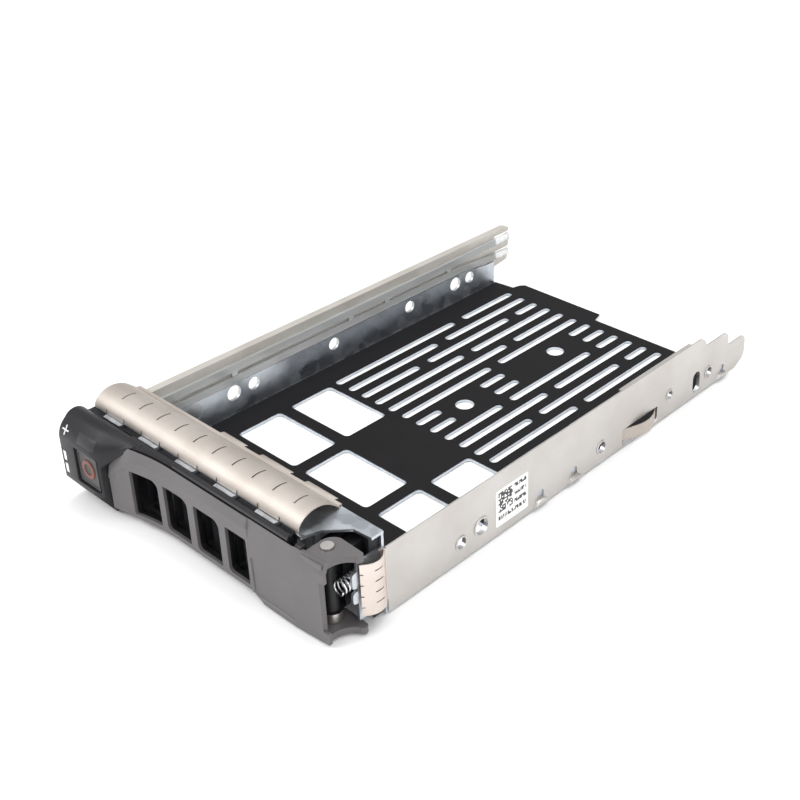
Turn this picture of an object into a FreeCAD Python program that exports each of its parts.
"""3.5-inch hot-swap drive caddy: sheet-metal tray, guide rails, light pipe, sprung EMI
gaskets and a plastic bezel with a swinging vented handle and a push-button latch.

Frame: +X to the right seen from the front, +Y towards the connector end, +Z up.
Origin: middle of the tray's underside, half way between the side rails.
"""
import FreeCAD, Part
import math
import os
import Sketcher

V = FreeCAD.Vector
doc = FreeCAD.newDocument("DriveCaddy")

# ------------------------------------------------------------------ driving dimensions (mm)
DIMS = {
    # tray
    "tray_half": 52.3, "sheet": 0.8, "film": 0.2, "tray_rear": 86.8, "film_inset": 0.25,
    "wall_front": -71.65, "left_wall_top": 11.5, "left_wall_tail": 9.9, "right_wall_top": 20.0,
    "right_wall_tail": 13.0, "wall_rear": 85.0, "front_top": 26.0,
    "flange_front": -84.8, "tooth_front": -86.75, "tooth_wide": 8.4, "tooth_pitch": 16.73,
    "tooth_first": -45.1,
    "tail_left": -42.4, "tail_right": -5.0, "tail_rear": 91.3,
    # louvres and windows in the floor
    "slot_pitch": 6.25, "slot_wide": 2.7, "slot_front": -4.85, "slot_rear": 82.2,
    "slot_break": 15.2, "slot_web": 4.9, "slot_first": 5.6,
    "win_front": -45.15, "win_row": 16.4, "win_gap": 4.7, "win_wide": 26.5, "win_step": 31.3,
    "win_left": -41.2, "win_round": 1.6, "peep_r": 3.0,
    # side holes
    "drive_z": 8.3, "drive_front": -37.9, "drive_pitch": 101.6, "drive_r": 2.6,
    "small_r": 2.2,
    # rails
    "rail_t": 0.45, "rail_bottom": 0.5, "rail_top": 21.0, "rail_front": -70.85,
    "rail_rear": 96.8, "rail_rim": 21.35, "rim_out": 55.2,
    # bezel
    "bezel_half": 52.6, "bezel_bottom": 0.4, "bezel_rear": -71.75, "bezel_top": 26.0,
    "nose_front": -96.75, "nose_right": -34.4, "recess": -86.55, "lip_front": -88.75,
    "lip_under": 23.4, "deck": 25.1, "bezel_right": 40.9,
    # handle
    "pivot_x": 45.5, "pivot_y": -83.15, "pin_r": 1.45, "pin_play": 0.05,
    "handle_front": -90.05, "handle_wall": 2.6, "handle_bottom": 0.6, "handle_top": 25.5,
    "handle_left": -33.7, "handle_right": 50.8, "lug_top": 24.8, "lug_t": 2.0,
    "crease": 22.5, "vent_low": 4.1, "vent_high": 18.4,
    # button
    "but_left": -46.4, "but_right": -36.2, "but_low": 10.0, "but_high": 19.5,
    "but_face": -95.85, "but_gap": 0.35,
    "ring_x": -41.1, "ring_z": 14.6, "ring_out": 3.0, "ring_in": 1.55,
    # gaskets
    "gas_t": 0.25, "gas_left": -51.0, "gas_right": 37.5, "slit": 0.45,
    "slit_first": -42.5, "slit_pitch": 8.24,
}
sheet = doc.addObject("Spreadsheet::Sheet", "Dims")
for row, (alias, value) in enumerate(DIMS.items(), start=1):
    sheet.set("A%d" % row, alias)
    sheet.set("B%d" % row, str(value))
    sheet.setAlias("B%d" % row, alias)
doc.recompute()


class Size:
    """A length with its value and the sheet formula that drives it."""

    def __init__(self, value, text):
        self.v, self.t = float(value), text

    def _join(self, other, sign, value):
        return Size(value, "(%s %s %s)" % (self.t, sign, other.t))

    def __add__(self, other):
        other = size(other)
        return self._join(other, "+", self.v + other.v)

    def __sub__(self, other):
        other = size(other)
        return self._join(other, "-", self.v - other.v)

    def __mul__(self, other):
        other = size(other)
        return self._join(other, "*", self.v * other.v)

    def __neg__(self):
        return Size(-self.v, "(0 - %s)" % self.t)

    __radd__ = __add__
    __rmul__ = __mul__

    def __rsub__(self, other):
        return size(other) - self


def size(value):
    """Wrap a plain number so that it can sit in a formula."""
    return value if isinstance(value, Size) else Size(value, repr(float(value)))


def dim(alias):
    """A cell of the sheet."""
    return Size(DIMS[alias], "Dims.%s" % alias)


def num(value):
    return value.v if isinstance(value, Size) else float(value)


def bind(obj, prop, value):
    """Drive a property from the sheet when the value comes from it."""
    if isinstance(value, Size) and "Dims." in value.t:
        obj.setExpression(prop, value.t)


# ------------------------------------------------------------------ sketch helpers
def new_body(label):
    body = doc.addObject("PartDesign::Body", label)
    body.Label = label
    return body


def plane_of(body, role):
    for feature in body.Origin.OriginFeatures:
        if getattr(feature, "Role", "") == role:
            return feature
    raise RuntimeError("no plane " + role)


def new_sketch(body, role, offset):
    """Sketch on one of the body's own planes, moved along its normal by offset."""
    sketch = body.newObject("Sketcher::SketchObject", "Sketch")
    sketch.AttachmentSupport = [(plane_of(body, role), "")]
    sketch.MapMode = "FlatFace"
    sketch.AttachmentOffset = FreeCAD.Placement(V(0, 0, num(offset)), FreeCAD.Rotation())
    bind(sketch, "AttachmentOffset.Base.z", offset)
    return sketch


def fix_point(sketch, geo, pos, x, y):
    """Hold a vertex at (x, y) from the sketch origin, each bound to the sheet."""
    for kind, value in (("DistanceX", x), ("DistanceY", y)):
        index = sketch.addConstraint(
            Sketcher.Constraint(kind, -1, 1, geo, pos, num(value)))
        bind(sketch, "Constraints[%d]" % index, value)


def polygon(sketch, points):
    """Closed outline through the points, every vertex dimensioned."""
    count = len(points)
    first = sketch.GeometryCount
    for i in range(count):
        a, b = points[i], points[(i + 1) % count]
        sketch.addGeometry(Part.LineSegment(V(num(a[0]), num(a[1]), 0),
                                            V(num(b[0]), num(b[1]), 0)), False)
    for i in range(count):
        sketch.addConstraint(
            Sketcher.Constraint("Coincident", first + i, 2, first + (i + 1) % count, 1))
    for i in range(count):
        fix_point(sketch, first + i, 1, points[i][0], points[i][1])


def rectangle(sketch, x0, x1, y0, y1):
    polygon(sketch, [(x0, y0), (x1, y0), (x1, y1), (x0, y1)])


def circle(sketch, x, y, r):
    geo = sketch.addGeometry(Part.Circle(V(num(x), num(y), 0), V(0, 0, 1), num(r)), False)
    index = sketch.addConstraint(Sketcher.Constraint("Radius", geo, num(r)))
    bind(sketch, "Constraints[%d]" % index, r)
    fix_point(sketch, geo, 3, x, y)


def smooth_loop(sketch, points):
    """Closed outline given as runs: ('line', p) goes straight to p, ('arc', m, p) passes m."""
    start = points[0][1]
    here = start
    for run in points[1:]:
        if run[0] == "line":
            sketch.addGeometry(Part.LineSegment(V(*here, 0), V(*run[1], 0)), False)
            here = run[1]
        else:
            sketch.addGeometry(Part.Arc(V(*here, 0), V(*run[1], 0), V(*run[2], 0)), False)
            here = run[2]
    if math.hypot(here[0] - start[0], here[1] - start[1]) > 1e-6:
        sketch.addGeometry(Part.LineSegment(V(*here, 0), V(*start, 0)), False)


def round_rect(sketch, x0, x1, y0, y1, radii):
    """Rectangle with a corner radius each: lower left, lower right, upper right, upper left."""
    a, b, c, d = radii
    k = 1 - math.sqrt(0.5)
    runs = [("start", (x0 + a, y0)), ("line", (x1 - b, y0))]
    if b:
        runs.append(("arc", (x1 - b * k, y0 + b * k), (x1, y0 + b)))
    runs.append(("line", (x1, y1 - c)))
    if c:
        runs.append(("arc", (x1 - c * k, y1 - c * k), (x1 - c, y1)))
    runs.append(("line", (x0 + d, y1)))
    if d:
        runs.append(("arc", (x0 + d * k, y1 - d * k), (x0, y1 - d)))
    runs.append(("line", (x0, y0 + a)))
    if a:
        runs.append(("arc", (x0 + a * k, y0 + a * k), (x0 + a, y0)))
    smooth_loop(sketch, runs)


def slot(sketch, x, y0, y1, wide):
    """Round-ended slot along the sketch's second axis, from tip to tip."""
    r = wide / 2
    smooth_loop(sketch, [("start", (x - r, y0 + r)), ("arc", (x, y0), (x + r, y0 + r)),
                         ("line", (x + r, y1 - r)), ("arc", (x, y1), (x - r, y1 - r))])


def feature(body, kind, sketch, length):
    """Pad or Pocket of a sketch; the volume has to grow or shrink."""
    doc.recompute()
    before = body.Shape.Volume if body.Tip and not body.Shape.isNull() else 0.0
    item = body.newObject("PartDesign::" + kind, kind)
    item.Profile = sketch
    item.Length = num(length)
    bind(item, "Length", length)
    doc.recompute()
    after = body.Shape.Volume
    grew = after > before + 1e-6
    if grew != (kind == "Pad") or abs(after - before) < 1e-6:
        raise RuntimeError("%s in %s did nothing useful: %.3f to %.3f"
                           % (kind, body.Label, before, after))
    return item


def pad(body, role, low, high, draw):
    """Add material between two coordinates along the plane's axis (X, Y or Z)."""
    offset = -high if role == "XZ_Plane" else low
    sketch = new_sketch(body, role, offset)
    draw(sketch)
    return feature(body, "Pad", sketch, high - low)


def cut(body, role, low, high, draw):
    """Remove material between two coordinates along the plane's axis (X, Y or Z)."""
    offset = -low if role == "XZ_Plane" else high
    sketch = new_sketch(body, role, offset)
    draw(sketch)
    return feature(body, "Pocket", sketch, high - low)


def solid_part(label, shape, place=FreeCAD.Placement()):
    """A sub-part whose shape is made directly with Part's own functions."""
    item = doc.addObject("Part::Feature", label)
    item.Label = label
    item.Shape = shape
    item.Placement = place
    return item


PARTS = []
T, HALF = dim("sheet"), dim("tray_half")
INNER = HALF - T
WF = dim("wall_front")


# ------------------------------------------------------------------ floor openings
def floor_windows():
    """(x0, x1, y0, y1) of the five windows: three in front, two behind."""
    x, step, wide = DIMS["win_left"], DIMS["win_step"], DIMS["win_wide"]
    y, deep, gap = DIMS["win_front"], DIMS["win_row"], DIMS["win_gap"]
    rows = [(0, 0), (1, 0), (2, 0), (0, 1), (2, 1)]
    return [(x + i * step, x + i * step + wide, y + j * (deep + gap),
             y + j * (deep + gap) + deep) for i, j in rows]


def louvre_rows():
    """(x, [(y0, y1), ...]) for the fourteen rows of louvres.

    Rows break at multiples of one pitch; 'span' names the breaks a row has.
    """
    first = DIMS["slot_front"]
    last = DIMS["slot_rear"]
    step, web = DIMS["slot_break"], DIMS["slot_web"]

    def brk(n):
        return DIMS["slot_first"] + n * step

    breaks = [[3], [2], [1, 4], [2], [3], [2], None, None, [1, 4], [2], [1, 4], [2],
              [1, 4], [2]]
    rows = []
    for i, marks in enumerate(breaks):
        x = (i - 6.5) * DIMS["slot_pitch"]
        if marks is None:
            spans = [(first, brk(0)), (25.15, brk(2)), (71.75, last)]
        else:
            spans, here = [], first
            for mark in marks:
                spans.append((here, brk(mark)))
                here = brk(mark) + web
            spans.append((here, last))
        rows.append((x, spans))
    return rows


def draw_windows(sketch, shrink=0.0):
    r = DIMS["win_round"]
    for x0, x1, y0, y1 in floor_windows():
        round_rect(sketch, x0 - shrink, x1 + shrink, y0 - shrink, y1 + shrink, (r, r, r, r))


def draw_louvres(sketch, extra=0.0):
    for x, spans in louvre_rows():
        for y0, y1 in spans:
            slot(sketch, x, y0 - extra, y1 + extra, DIMS["slot_wide"] + 2 * extra)
    for y in (13.6, 59.5):
        circle(sketch, 0.0, y, dim("peep_r") + extra)


def tail_outline(inset):
    """Rear edge of the floor with its offset tongue, from left to right."""
    rear, tail = dim("tray_rear"), dim("tail_rear")
    left, right = dim("tail_left"), dim("tail_right")
    return [(HALF - inset, rear - inset), (right + 1.4, rear - inset), (right, tail - inset),
            (left + 1.6, tail - inset), (left, tail - 1.6 - inset), (left - 0.9, rear - inset),
            (-HALF + inset, rear - 0.9 - inset)]


# ------------------------------------------------------------------ 1. tray pan
tray = new_body("tray_pan")
pad(tray, "XY_Plane", size(0), T,
    lambda s: polygon(s, [(-HALF, WF), (HALF, WF)] + tail_outline(size(0))))
pad(tray, "YZ_Plane", -HALF, -INNER, lambda s: polygon(s, [
    (WF + 1.0, size(0.1)), (dim("wall_rear"), size(0.1)),
    (dim("wall_rear"), dim("left_wall_tail")), (dim("wall_rear") - 4.0, dim("left_wall_tail")),
    (dim("wall_rear") - 16.0, dim("left_wall_top")), (WF + 1.0, dim("left_wall_top"))]))
pad(tray, "YZ_Plane", INNER, HALF, lambda s: polygon(s, [
    (WF, size(0.1)), (dim("wall_rear"), size(0.1)),
    (dim("wall_rear"), dim("right_wall_tail") - 3.0),
    (dim("wall_rear") - 6.0, dim("right_wall_tail")), (size(27.5), dim("right_wall_tail")),
    (size(25.0), dim("right_wall_top")), (WF, dim("right_wall_top"))]))
pad(tray, "XZ_Plane", WF, WF + T, lambda s: rectangle(
    s, -size(50.6), HALF - 0.1, size(0.1), dim("front_top") - 0.1))


def top_flange(sketch):
    """Roof over the bezel: a toothed front edge and a corner cleared for the handle's lug."""
    front, tooth = dim("flange_front"), dim("tooth_front")
    pts = [(size(-51.4), WF + T), (size(-51.4), front)]
    for i in range(5):
        x = dim("tooth_first") + i * dim("tooth_pitch")
        pts += [(x, front), (x + 0.4, tooth), (x + dim("tooth_wide") - 0.4, tooth),
                (x + dim("tooth_wide"), front)]
    pts += [(size(34.9), front), (size(37.9), size(-85.9)), (size(39.0), size(-86.05)),
            (size(40.6), size(-80.9)), (size(46.3), size(-75.25)), (HALF, size(-74.75)),
            (HALF, WF + T)]
    polygon(sketch, pts)


pad(tray, "XY_Plane", dim("front_top") - T, dim("front_top"), top_flange)


def side_flange(sketch):
    """Wing beside the bezel that carries the side gasket, with two tongues."""
    back, front = WF + 0.4, size(-80.2)
    pts = [(back, size(3.6)), (front, size(3.6)), (front, size(9.2)), (size(-81.6), size(9.5)),
           (size(-81.9), size(10.2)), (size(-81.9), size(12.1)), (size(-81.6), size(12.8)),
           (front, size(13.1)), (front, size(13.9)), (size(-81.6), size(14.2)),
           (size(-81.9), size(14.9)), (size(-81.9), size(17.9)), (size(-81.6), size(18.6)),
           (front, size(18.9)), (front, size(21.4)), (back, size(21.4))]
    polygon(sketch, pts)


pad(tray, "YZ_Plane", INNER, HALF, side_flange)
cut(tray, "XY_Plane", size(-1), T + 0.2, lambda s: draw_windows(s))
cut(tray, "XY_Plane", size(-1), T + 0.2, lambda s: draw_louvres(s))


def front_vents(sketch):
    """Air slots through the wall between bezel and bay."""
    for i in range(15):
        slot(sketch, -35.0 + 5.0 * i, 4.4, 20.4, 2.6)


cut(tray, "XZ_Plane", WF - 1.0, WF + T + 1.0, front_vents)
SCREWS = ((-44.0, 5.4), (43.5, 5.4))
for sx, sz in SCREWS:
    cut(tray, "XZ_Plane", WF - 1.0, WF + T + 1.0,
        lambda s, sx=sx, sz=sz: circle(s, sx, sz, 1.3))

DRIVE = [dim("drive_front"), dim("drive_front") + dim("drive_pitch")]
LEFT_SMALL = [(-29.95, 8.3), (4.1, 8.3), (40.05, 8.3), (71.4, 8.3)]
RIVETS = [(-53.15, 8.3, 2.9), (48.6, 8.3, 2.1)]
RIGHT_DRIVE = (-35.9, 7.3, 2.4)
RIGHT_SLOT = (67.65, 1.9, 9.4, 4.0)
RIGHT_SMALL = [(-43.9, 6.4, 1.7), (17.15, 5.9, 1.75), (52.4, 7.9, 1.4), (74.65, 6.4, 1.7)]


def drive_holes(sketch):
    for y in DRIVE:
        circle(sketch, y, dim("drive_z"), dim("drive_r"))


def left_holes(sketch):
    drive_holes(sketch)
    for y, z in LEFT_SMALL:
        circle(sketch, y, z, dim("small_r"))
    for y, z, r in RIVETS:
        circle(sketch, y, z, r)


cut(tray, "YZ_Plane", -HALF - 1.0, -INNER + 1.0, left_holes)
cut(tray, "YZ_Plane", INNER - 1.0, HALF + 1.0, lambda s: circle(s, *RIGHT_DRIVE))
cut(tray, "YZ_Plane", INNER - 1.0, HALF + 1.0, lambda s: slot(s, *RIGHT_SLOT))


def spring_port(sketch):
    polygon(sketch, [(25.6, 0.9), (46.6, 0.9), (46.6, 7.4), (25.6, 7.4)])


cut(tray, "YZ_Plane", INNER - 1.0, HALF + 1.0, spring_port)
for y, z, r in RIGHT_SMALL:
    cut(tray, "YZ_Plane", INNER - 1.0, HALF + 1.0,
        lambda s, y=y, z=z, r=r: circle(s, y, z, r))
PARTS.append(tray)

# ------------------------------------------------------------------ 2. floor film
film = new_body("floor_film")
inset = dim("film_inset") + T
front_line = WF + T + 0.3
pad(film, "XY_Plane", T, T + dim("film"), lambda s: polygon(
    s, [(-HALF + inset, front_line), (HALF - inset, front_line),
        (HALF - inset, dim("tray_rear") - 0.3),
        (dim("tail_right") + 1.5, dim("tray_rear") - 0.3),
        (dim("tail_right") + 0.1, dim("tail_rear") - 0.3),
        (dim("tail_left") + 1.5, dim("tail_rear") - 0.3),
        (dim("tail_left") + 0.2, dim("tail_rear") - 1.7),
        (dim("tail_left") - 0.7, dim("tray_rear") - 0.3),
        (-HALF + inset, dim("tray_rear") - 1.2)]))
cut(film, "XY_Plane", T - 0.2, T + 0.5, lambda s: draw_windows(s, 0.3))
cut(film, "XY_Plane", T - 0.2, T + 0.5, lambda s: draw_louvres(s, 0.12))
PARTS.append(film)

# ------------------------------------------------------------------ 3. guide rails
RT, RB, RTOP = dim("rail_t"), dim("rail_bottom"), dim("rail_top")
RF = dim("rail_front")

right_rail = new_body("right_rail")


def right_profile(sketch):
    """Side view: straight top, then two steps down with rounded noses at the rear."""
    rear = DIMS["rail_rear"]
    smooth_loop(sketch, [
        ("start", (num(RF), num(RB))), ("line", (rear - 5.5, num(RB))),
        ("line", (rear - 1.2, 2.6)), ("arc", (rear - 0.3, 4.0), (rear, 5.6)),
        ("line", (rear, 8.6)), ("arc", (rear - 0.9, 10.9), (rear - 3.1, 11.8)),
        ("line", (86.0, 11.8)), ("line", (85.9, 14.2)),
        ("arc", (84.9, 16.4), (82.6, 17.3)), ("line", (72.6, 17.2)), ("line", (72.2, 18.2)),
        ("arc", (70.6, 20.2), (67.6, num(RTOP))), ("line", (num(RF), num(RTOP)))])


pad(right_rail, "YZ_Plane", HALF, HALF + RT, right_profile)
pad(right_rail, "XY_Plane", RTOP - RT, RTOP, lambda s: rectangle(
    s, HALF - 1.1, HALF + 0.1, size(27.0), size(64.0)))


def right_openings(sketch):
    """Round holes, two lanced notches, the ground-spring window and the tall slot."""
    circle(sketch, *RIGHT_DRIVE)
    for y, z, r in RIGHT_SMALL:
        circle(sketch, y, z, r)
    for y, z in ((-11.05, 4.3), (4.2, 4.1)):
        smooth_loop(sketch, [("start", (y - 1.4, z - 1.2)), ("line", (y + 1.4, z - 1.2)),
                             ("line", (y + 1.4, z + 0.4)),
                             ("arc", (y, z + 1.6), (y - 1.4, z + 0.4))])
    smooth_loop(sketch, [("start", (81.9, 2.4)), ("line", (84.1, 2.4)), ("line", (84.1, 4.6)),
                         ("arc", (83.0, 5.6), (81.9, 4.6))])
    round_rect(sketch, 27.6, 45.9, 1.0, 6.7, (0.6, 0.3, 0.3, 0.6))
    slot(sketch, *RIGHT_SLOT)


cut(right_rail, "YZ_Plane", HALF - 1.0, HALF + RT + 1.0, right_openings)
PARTS.append(right_rail)

left_rail = new_body("left_rail")


def left_profile(sketch):
    """Side view: three fingers at the rear, the gaps between them clear the light pipe."""
    top = DIMS["rail_rim"]
    smooth_loop(sketch, [
        ("start", (num(RF), num(RB))), ("line", (85.0, num(RB))), ("line", (86.3, 7.1)),
        ("line", (92.0, 7.8)), ("arc", (93.2, 8.4), (93.5, 9.6)), ("line", (93.5, 10.1)),
        ("line", (86.3, 10.1)), ("line", (86.3, 13.3)), ("line", (93.6, 13.3)),
        ("arc", (94.1, 13.8), (94.2, 14.4)), ("line", (94.2, 15.4)),
        ("arc", (94.1, 16.0), (93.6, 16.3)), ("line", (86.3, 16.3)),
        ("line", (86.3, 19.5)), ("line", (93.4, 19.5)), ("arc", (94.3, 20.3), (93.6, top)),
        ("line", (num(RF), top))])


pad(left_rail, "YZ_Plane", -HALF - RT, -HALF, left_profile)
RIM = dim("rail_rim")
pad(left_rail, "XY_Plane", RIM - RT, RIM, lambda s: round_rect(
    s, -DIMS["rim_out"], -DIMS["tray_half"], DIMS["rail_front"], 93.6, (0.6, 0, 0, 1.6)))
cut(left_rail, "YZ_Plane", -HALF - 1.0, -HALF + 1.0, left_holes)
PARTS.append(left_rail)

# ------------------------------------------------------------------ 4. rivets
for index, (y, z, r) in enumerate(RIVETS):
    name = "left_rivet_front" if index == 0 else "left_rivet_rear"
    item = doc.addObject("Part::Cylinder", name)
    item.Label = name
    item.Radius = r
    item.setExpression("Height", "Dims.sheet + Dims.rail_t + 0.1")
    item.Placement = FreeCAD.Placement(V(-DIMS["tray_half"] - DIMS["rail_t"] - 0.15, y, z),
                                       FreeCAD.Rotation(V(0, 1, 0), 90))
    PARTS.append(item)

# ------------------------------------------------------------------ 5. light pipe and lenses
pipe_x0, pipe_x1 = -HALF, -HALF + 1.3
pipe = new_body("light_pipe")
UPPER = [(-91.0, 15.1), (-85.6, 15.1), (-77.0, 17.2), (55.0, 17.1), (75.0, 17.6), (93.3, 17.9)]
LOWER = [(-91.0, 10.9), (-85.6, 10.9), (-77.0, 13.1), (67.0, 13.3), (80.0, 12.1), (92.9, 11.7)]


def ribbon(line, half):
    """Outline of a bar that follows a centre line."""
    return ([(size(y), size(z - half)) for y, z in line]
            + [(size(y), size(z + half)) for y, z in reversed(line)])


pad(pipe, "YZ_Plane", pipe_x0, pipe_x1, lambda s: polygon(s, ribbon(UPPER, 1.3)))
pad(pipe, "YZ_Plane", pipe_x0, pipe_x1, lambda s: polygon(s, ribbon(LOWER, 1.2)))
for y in (-37.0, 12.1, 29.2, 60.3):
    pad(pipe, "YZ_Plane", pipe_x0 + 0.1, pipe_x1 - 0.1,
        lambda s, y=y: rectangle(s, size(y - 1.1), size(y + 1.1), size(13.9), size(16.4)))
PARTS.append(pipe)

LENS_SPANS = [(13.4, 16.8), (9.2, 12.6)]
for name, (low, high) in zip(("status_lens_upper", "status_lens_lower"), LENS_SPANS):
    lens = new_body(name)
    pad(lens, "XY_Plane", size(low), size(high), lambda s: rectangle(
        s, size(-52.2), size(-50.4), dim("nose_front") + 0.15, size(-91.2)))
    PARTS.append(lens)

# ------------------------------------------------------------------ 6. bezel
bezel = new_body("bezel_body")
BB, BR = dim("bezel_bottom"), dim("bezel_rear")


def nose_profile(sketch):
    """Side view of the left block: undercut chin, flat face, crowned top, dip to the deck."""
    front, rear, bottom = DIMS["nose_front"], DIMS["bezel_rear"], DIMS["bezel_bottom"]
    smooth_loop(sketch, [
        ("start", (rear, bottom)), ("line", (-92.1, bottom)), ("line", (front, 7.6)),
        ("line", (front, 20.5)), ("arc", (-96.1, 23.7), (-94.0, 26.0)),
        ("arc", (-90.6, 27.8), (-88.1, 26.7)), ("arc", (-87.2, 25.6), (-86.8, 25.1)),
        ("line", (rear, 25.1))])


pad(bezel, "YZ_Plane", -dim("bezel_half"), dim("nose_right"), nose_profile)


def main_profile(sketch):
    """Section behind the handle: recessed face under a lip that meets the handle's top edge."""
    polygon(sketch, [
        (BR, BB), (dim("recess"), BB), (dim("recess"), dim("lip_under")),
        (dim("lip_front"), dim("lip_under")), (dim("lip_front"), dim("bezel_top") - 0.4),
        (dim("lip_front") + 0.4, dim("bezel_top")), (size(-86.95), dim("bezel_top")),
        (size(-86.95), dim("deck")), (BR, dim("deck"))])


pad(bezel, "YZ_Plane", dim("nose_right") - 0.2, dim("bezel_right"), main_profile)


def corner_fill(sketch):
    """Front view of the web that fills the handle's cut corner."""
    polygon(sketch, [(size(-35.0), size(17.3)), (size(-33.9), size(18.9)),
                     (size(-25.0), size(26.0)), (size(-35.0), size(26.0))])


pad(bezel, "XZ_Plane", size(-93.2), size(-86.8), corner_fill)
wedge = [(size(-94.0), size(19.6)), (size(-94.0), size(27.0)), (size(-89.9), size(27.0)),
         (size(-89.9), size(26.0)), (size(-92.6), size(24.6))]
cut(bezel, "YZ_Plane", size(-34.3), size(-24.0), lambda s: polygon(s, wedge))
cut(bezel, "XY_Plane", size(-1), size(30.0), lambda s: polygon(s, [
    (size(-36.3), size(-97.5)), (size(-34.35), size(-93.3)), (size(-24.0), size(-90.9)),
    (size(-24.0), size(-97.5))]))
# right-hand housing round the pivot: back block, boss and web
pad(bezel, "XY_Plane", BB, dim("deck"), lambda s: rectangle(
    s, dim("bezel_right") - 0.2, size(51.4), size(-80.0), BR))
sweep_r = size(10.0)
cut(bezel, "XY_Plane", BB - 1.0, dim("deck") + 1.0, lambda s: circle(
    s, dim("pivot_x"), dim("pivot_y"), sweep_r))
pad(bezel, "XY_Plane", size(5.8), size(22.5), lambda s: circle(
    s, dim("pivot_x"), dim("pivot_y"), size(2.9)))
pad(bezel, "XY_Plane", size(5.8), size(22.5), lambda s: rectangle(
    s, dim("pivot_x") - 2.1, dim("pivot_x") + 2.1, dim("pivot_y"), size(-72.5)))
pad(bezel, "XY_Plane", size(5.8), size(22.5), lambda s: rectangle(
    s, size(39.4), size(41.6), size(-80.0), size(-72.5)))
pad(bezel, "XZ_Plane", size(-80.4), size(-73.2), lambda s: circle(s, 49.5, 14.7, 0.95))
for z in (7.3, 10.5):
    pad(bezel, "XY_Plane", size(z), size(z + 0.8), lambda s: rectangle(
        s, size(43.3), size(46.6), size(-86.4), size(-83.0)))
# air duct: four windows in the recessed face, hollow behind
VENTS = [(-26.6, -16.2), (-13.8, -3.4), (-0.5, 10.1), (12.9, 21.4)]
cut(bezel, "XZ_Plane", size(-84.55), BR + 1.0, lambda s: round_rect(
    s, -31.0, 38.4, 2.4, 22.9, (1.0, 1.0, 1.0, 1.0)))


def duct_windows(sketch):
    for x0, x1 in VENTS:
        round_rect(sketch, x0 - 0.3, x1 + 0.3, 3.6, 18.9, (1.0, 1.0, 1.0, 1.0))


cut(bezel, "XZ_Plane", size(-87.5), size(-84.0), duct_windows)
# button well, latch chamber and the latch's way out
G = dim("but_gap")
cut(bezel, "XZ_Plane", size(-98.0), size(-86.0), lambda s: rectangle(
    s, dim("but_left") - G, dim("but_right") + G, dim("but_low") - G, dim("but_high") + G))
cut(bezel, "XZ_Plane", size(-93.2), size(-78.5), lambda s: rectangle(
    s, size(-49.2), size(-36.4), size(7.0), size(22.0)))
cut(bezel, "YZ_Plane", size(-37.5), size(-34.0), lambda s: rectangle(
    s, size(-90.8), size(-88.3), size(11.6), size(16.0)))
# lens windows and the open channel for the light pipe along the left side
for low, high in LENS_SPANS:
    cut(bezel, "XY_Plane", size(low), size(high), lambda s: rectangle(
        s, size(-52.2), size(-50.4), size(-97.5), size(-90.9)))
cut(bezel, "YZ_Plane", size(-53.0), size(-50.3), lambda s: polygon(s, [
    (size(-91.3), size(9.1)), (size(-85.2), size(9.1)), (size(-77.0), size(11.3)),
    (BR + 0.5, size(11.3)), (BR + 0.5, size(19.0)), (size(-77.0), size(19.0)),
    (size(-85.2), size(16.9)), (size(-91.3), size(16.9))]))
# screw pilots
for sx, sz in SCREWS:
    cut(bezel, "XZ_Plane", size(-77.5), BR + 1.0,
        lambda s, sx=sx, sz=sz: circle(s, sx, sz, 1.0))
# pin bore
cut(bezel, "XY_Plane", size(4.0), size(24.0), lambda s: circle(
    s, dim("pivot_x"), dim("pivot_y"), dim("pin_r")))
PARTS.append(bezel)

# ------------------------------------------------------------------ 7. handle
handle = new_body("handle_lever")
HF, HT = dim("handle_front"), dim("handle_top")
hf, wall = DIMS["handle_front"], DIMS["handle_wall"]
hl, hr = DIMS["handle_left"], DIMS["handle_right"]


def handle_plan(sketch):
    """Plan view: straight front that flares forward into a finger lip at the free end."""
    back = hf + wall
    smooth_loop(sketch, [
        ("start", (hr, hf)), ("line", (-10.0, hf)),
        ("arc", (-19.0, hf - 0.55), (-26.6, hf - 1.5)),
        ("arc", (-29.7, hf - 2.55), (-32.4, hf - 4.1)),
        ("arc", (-33.6, hf - 4.0), (hl, hf - 2.9)), ("line", (hl, hf - 1.0)),
        ("arc", (-29.0, back - 1.3), (-24.0, back - 0.35)), ("arc", (-18.0, back - 0.05),
                                                               (-12.0, back)),
        ("line", (hr - 0.8, back)), ("arc", (hr - 0.2, back - 0.2), (hr, back - 0.8))])


pad(handle, "XY_Plane", dim("handle_bottom"), HT, handle_plan)
# lug plates above and below the boss, same plan: round the pin, then a hooked tooth
px, py = DIMS["pivot_x"], DIMS["pivot_y"]


def lug_plan(sketch):
    smooth_loop(sketch, [
        ("start", (px - 4.2, hf + 0.8)), ("line", (px - 4.2, py)),
        ("arc", (px - 3.0, py + 3.2), (px, py + 4.5)), ("line", (px + 7.6, py + 4.2)),
        ("arc", (px + 8.7, py + 3.8), (px + 8.8, py + 2.7)),
        ("arc", (px + 8.4, py + 2.2), (px + 7.5, py + 1.8)),
        ("arc", (px + 4.9, py - 1.3), (px + 4.6, hf + 1.6)), ("line", (px + 4.6, hf + 0.8))])


pad(handle, "XY_Plane", dim("lug_top") - dim("lug_t"), dim("lug_top"), lug_plan)
pad(handle, "XY_Plane", dim("handle_bottom"), dim("handle_bottom") + dim("lug_t"), lug_plan)
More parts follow.
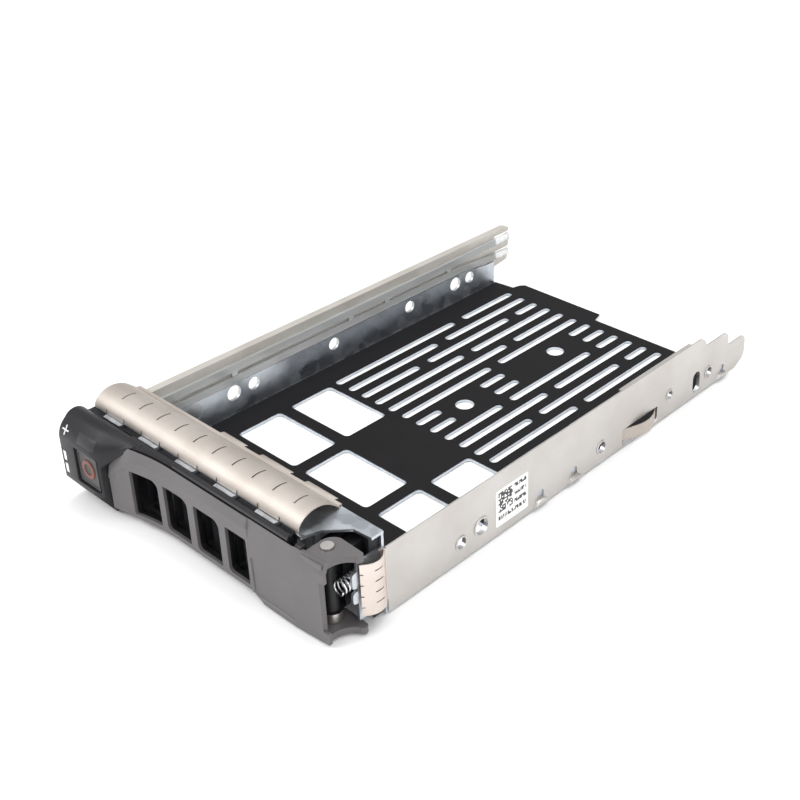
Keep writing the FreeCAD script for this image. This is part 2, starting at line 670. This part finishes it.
# front bevels: shallow along the vents, deep over the right-hand panel
cut(handle, "YZ_Plane", size(-40.0), size(22.2), lambda s: polygon(s, [
    (HF, dim("crease")), (HF + 1.1, HT + 0.1), (HF - 9.0, HT + 0.1),
    (HF - 9.0, dim("crease") + 1.0), (HF - 2.0, dim("crease") + 1.0)]))
cut(handle, "YZ_Plane", size(22.2), size(52.0), lambda s: polygon(s, [
    (HF - 0.01, size(15.2)), (HF + 1.1, HT + 0.1), (HF - 1.0, HT + 0.1)]))
# chin: the underside slopes up towards the flared end
cut(handle, "YZ_Plane", size(-40.0), size(52.0), lambda s: polygon(s, [
    (size(-91.9), size(-0.2)), (size(-96.5), size(6.7)), (size(-96.5), size(-0.2))]))
# rebate for the bezel's lip, and the cut corner at the free end
cut(handle, "YZ_Plane", size(-40.0), dim("pivot_x") - 4.2, lambda s: rectangle(
    s, dim("lip_front") - 0.3, size(-80.0), dim("lip_under") - 0.3, HT + 0.5))
cut(handle, "XZ_Plane", size(-97.0), size(-84.0), lambda s: polygon(s, [
    (size(-34.2), size(17.9)), (size(-24.0), size(26.4)), (size(-34.2), size(26.4))]))


def handle_vents(sketch):
    low, high = DIMS["vent_low"], DIMS["vent_high"]
    for index, (x0, x1) in enumerate(VENTS):
        big = 2.4 if index < 3 else 0.5
        small = 0.5 if index == 0 else 1.5
        round_rect(sketch, x0, x1, low, high, (small, 0.4, big, 0.4))


cut(handle, "XZ_Plane", size(-97.0), size(-84.0), handle_vents)
cut(handle, "XZ_Plane", HF - 1.0, HF + 0.35, lambda s: polygon(s, [
    (size(24.2), size(1.9)), (size(39.0), size(1.9)), (size(39.0), size(14.4)),
    (size(23.4), size(14.4)), (size(23.4), size(4.4))]))
cut(handle, "XZ_Plane", HF - 1.0, HF + wall + 0.2, lambda s: polygon(s, [
    (size(hr - 0.5), size(19.6)), (size(hr + 1.0), size(19.6)), (size(hr + 1.0), size(4.0)),
    (size(hr - 0.5), size(4.0))]))
# catch at the free end: a rib with a lip that the latch nose holds
pad(handle, "XY_Plane", size(12.0), size(15.6), lambda s: polygon(s, [
    (size(-30.2), size(-90.4)), (size(-31.8), size(-91.2)), (size(-31.8), size(-88.7)),
    (size(-33.3), size(-88.6)), (size(-33.0), size(-87.3)), (size(-30.2), size(-87.2))]))
cut(handle, "XY_Plane", size(-1.0), size(26.0), lambda s: circle(
    s, dim("pivot_x"), dim("pivot_y"), dim("pin_r") + dim("pin_play")))
PARTS.append(handle)

# ------------------------------------------------------------------ 8. pin, collar, screws
pin = new_body("handle_pin")
pad(pin, "XY_Plane", dim("handle_bottom") - 0.1, dim("lug_top") + 0.15, lambda s: circle(
    s, dim("pivot_x"), dim("pivot_y"), dim("pin_r")))
pad(pin, "XY_Plane", dim("lug_top") + 0.15, dim("lug_top") + 0.55, lambda s: circle(
    s, dim("pivot_x"), dim("pivot_y"), dim("pin_r") + 0.25))
PARTS.append(pin)

collar = new_body("pin_collar")
pad(collar, "XY_Plane", size(2.9), size(5.8), lambda s: circle(
    s, dim("pivot_x"), dim("pivot_y"), size(2.6)))
cut(collar, "XY_Plane", size(2.0), size(6.5), lambda s: circle(
    s, dim("pivot_x"), dim("pivot_y"), dim("pin_r")))
PARTS.append(collar)

for name, (sx, sz) in zip(("bezel_screw_left", "bezel_screw_right"), SCREWS):
    screw = new_body(name)
    pad(screw, "XZ_Plane", size(-76.6), WF + T, lambda s: circle(s, sx, sz, 1.0))
    pad(screw, "XZ_Plane", WF + T, WF + T + 1.2, lambda s: circle(s, sx, sz, 2.2))
    for across, high in ((1.4, 0.3), (0.3, 1.4)):
        cut(screw, "XZ_Plane", WF + T + 0.6, WF + T + 2.0, lambda s: rectangle(
            s, sx - across, sx + across, sz - high, sz + high))
    PARTS.append(screw)

# ------------------------------------------------------------------ 9. button and latch
button = new_body("release_button")
BX0, BX1, BZ0, BZ1 = dim("but_left"), dim("but_right"), dim("but_low"), dim("but_high")
FACE = dim("but_face")
pad(button, "XZ_Plane", FACE, FACE + 3.0, lambda s: rectangle(s, BX0, BX1, BZ0, BZ1))
pad(button, "XZ_Plane", FACE + 3.0, FACE + 4.2, lambda s: rectangle(
    s, BX0 - 1.2, BX1 - 0.8, BZ0 - 1.2, BZ1 + 1.2))
pad(button, "XZ_Plane", FACE + 4.2, FACE + 10.6, lambda s: circle(
    s, dim("ring_x") - 1.0, dim("ring_z"), size(1.5)))
pad(button, "XY_Plane", size(12.4), size(15.2), lambda s: polygon(s, [
    (size(-38.6), FACE + 4.1), (size(-37.1), FACE + 4.1), (size(-37.1), FACE + 5.2),
    (size(-37.5), FACE + 5.2)]))
cut(button, "XZ_Plane", FACE - 0.5, FACE + 0.4, lambda s: circle(
    s, dim("ring_x"), dim("ring_z"), dim("ring_out")))
pad(button, "XZ_Plane", FACE, FACE + 0.4, lambda s: circle(
    s, dim("ring_x"), dim("ring_z"), dim("ring_in")))
PARTS.append(button)

ring = new_body("button_ring")
pad(ring, "XZ_Plane", FACE - 0.15, FACE + 0.4, lambda s: circle(
    s, dim("ring_x"), dim("ring_z"), dim("ring_out")))
cut(ring, "XZ_Plane", FACE - 1.0, FACE + 1.0, lambda s: circle(
    s, dim("ring_x"), dim("ring_z"), dim("ring_in")))
PARTS.append(ring)

latch = new_body("latch_hook")


def latch_plan(sketch):
    """Spring blade from a root block, ending in a nose with a sloping front."""
    smooth_loop(sketch, [
        ("start", (-36.4, -78.5)), ("line", (-39.2, -78.5)), ("line", (-39.2, -81.0)),
        ("arc", (-38.9, -82.0), (-38.8, -83.0)), ("line", (-38.8, -89.2)),
        ("line", (-37.6, -90.3)), ("line", (-34.0, -90.3)), ("line", (-32.5, -89.5)),
        ("line", (-32.5, -88.9)), ("line", (-37.4, -88.9)), ("line", (-38.1, -88.2)),
        ("line", (-38.1, -83.0)), ("arc", (-37.6, -81.5), (-36.4, -81.0))])


pad(latch, "XY_Plane", size(12.0), size(15.6), latch_plan)
PARTS.append(latch)


# ------------------------------------------------------------------ 10. springs
def coil(radius, wire, pitch, length):
    """Round-wire compression spring standing on the origin."""
    helix = Part.makeHelix(pitch, length, radius)
    section = Part.Wire(Part.Circle(V(radius, 0, 0), V(0, 1, 0), wire).toShape())
    return Part.Wire(helix.Edges).makePipeShell([section], True, True)


def lying(x, y, z):
    """Placement that lays a standing piece down along +Y from the point."""
    return FreeCAD.Placement(V(x, y, z), FreeCAD.Rotation(V(0, 0, 1), V(0, 1, 0)))


PARTS.append(solid_part("button_spring", coil(2.2, 0.2, 1.5, 12.7), lying(
    DIMS["ring_x"] - 1.0, -91.42, DIMS["ring_z"])))
PARTS.append(solid_part("handle_spring", coil(1.45, 0.26, 1.35, 6.5), lying(
    49.5, -81.1, 14.7)))


# ------------------------------------------------------------------ 11. EMI gaskets
def strip_face(points, thick):
    """Thin curved section through the points, thickened towards its right-hand side."""
    outer = Part.BSplineCurve()
    outer.interpolate([V(*p) for p in points])
    inner_pts = []
    for i, p in enumerate(points):
        a = V(*points[max(0, i - 1)])
        b = V(*points[min(len(points) - 1, i + 1)])
        along = (b - a).normalize()
        side = strip_face.normal.cross(along)
        inner_pts.append(V(*p) + side * thick)
    inner = Part.BSplineCurve()
    inner.interpolate(inner_pts)
    edges = [outer.toShape(), Part.LineSegment(V(*points[-1]), inner_pts[-1]).toShape(),
             inner.toShape(), Part.LineSegment(inner_pts[0], V(*points[0])).toShape()]
    return Part.Face(Part.Wire(Part.__sortEdges__(edges)))


gt = DIMS["gas_t"]
strip_face.normal = V(-1, 0, 0)
x0, x1 = DIMS["gas_left"], DIMS["gas_right"]
dome_pts = [(x0, -85.35, 26.25), (x0, -84.9, 27.7), (x0, -83.6, 29.1), (x0, -81.2, 30.2),
            (x0, -79.2, 30.45), (x0, -77.2, 30.15), (x0, -75.2, 29.3), (x0, -73.2, 27.8),
            (x0, -71.6, 26.3)]
dome = strip_face(dome_pts, gt).extrude(V(x1 - x0, 0, 0))
hook = Part.makeBox(x1 - x0 - 1.0, gt, 3.4, V(x0 + 0.5, -70.85, 23.1))
roof = Part.makeBox(x1 - x0 - 1.0, 1.1, gt, V(x0 + 0.5, -71.7, 26.25))
dome = dome.fuse([hook, roof])
slits = [Part.makeBox(DIMS["slit"], 4.6, 6.0, V(DIMS["slit_first"] + i * DIMS["slit_pitch"]
                                               - DIMS["slit"] / 2, -81.4, 27.6))
         for i in range(10)]
notches = []
for i in range(5):
    for end in (0.0, DIMS["tooth_wide"]):
        x = DIMS["tooth_first"] + i * DIMS["tooth_pitch"] + end
        notches.append(Part.makeBox(0.5, 1.2, 2.0, V(x - 0.25, -86.2, 25.9)))
PARTS.append(solid_part("top_emi_gasket", dome.cut(slits + notches).removeSplitter()))

strip_face.normal = V(0, 0, -1)
low, high = 5.2, 21.0
side_pts = [(53.0, -79.9, low), (53.9, -78.9, low), (55.0, -77.0, low), (55.25, -75.4, low),
            (54.7, -73.4, low), (53.6, -72.0, low), (52.85, -71.3, low)]
side_face = strip_face(list(reversed(side_pts)), gt)
side = side_face.extrude(V(0, 0, high - low))
foot = Part.makeBox(0.25, 1.4, high - low, V(52.4, -72.6, low))
side = side.fuse(Part.makeBox(0.75, 0.25, high - low, V(52.4, -71.45, low))).fuse(foot)
cuts = [Part.makeBox(4.0, 2.6, 0.4, V(53.2, -76.8, 8.6 + 3.27 * i)) for i in range(4)]
cuts += [Part.makeBox(1.2, 0.9, 0.4, V(52.6, -80.2, 7.6 + 3.4 * i)) for i in range(4)]
PARTS.append(solid_part("side_emi_gasket", side.cut(cuts).removeSplitter()))

# ------------------------------------------------------------------ 12. ground spring
strip_face.normal = V(0, 0, -1)
leaf_pts = [(51.4, 22.6, 2.0), (51.4, 25.4, 2.0), (52.2, 29.0, 2.0), (53.9, 33.4, 2.0),
            (54.75, 37.6, 2.0), (54.2, 41.8, 2.0), (52.6, 45.0, 2.0)]
leaf = strip_face(list(reversed(leaf_pts)), 0.3).extrude(V(0, 0, 4.1))
PARTS.append(solid_part("ground_spring", leaf))

# ------------------------------------------------------------------ 13. label
label = new_body("rail_label")
pad(label, "YZ_Plane", HALF + RT, HALF + RT + 0.08, lambda s: round_rect(
    s, -30.05, -16.65, 3.2, 15.2, (0.5, 0.5, 0.5, 0.5)))
PARTS.append(label)

# ------------------------------------------------------------------ export
doc.recompute()
for item in doc.Objects:
    if "Invalid" in item.State or "Error" in item.State:
        raise RuntimeError("failed object: %s %s" % (item.Name, item.State))
os.makedirs("parts", exist_ok=True)
for item in PARTS:
    shape = item.Shape
    if shape.isNull() or not shape.isValid():
        raise RuntimeError("bad shape: " + item.Label)
    if len(shape.Solids) != 1:
        raise RuntimeError("%s has %d solids" % (item.Label, len(shape.Solids)))
    shape.exportStep("parts/%s.step" % item.Label)
    box = shape.BoundBox
    print("%-18s %8.1f mm3  x %.1f..%.1f  y %.1f..%.1f  z %.1f..%.1f" % (
        item.Label, shape.Volume, box.XMin, box.XMax, box.YMin, box.YMax, box.ZMin, box.ZMax))
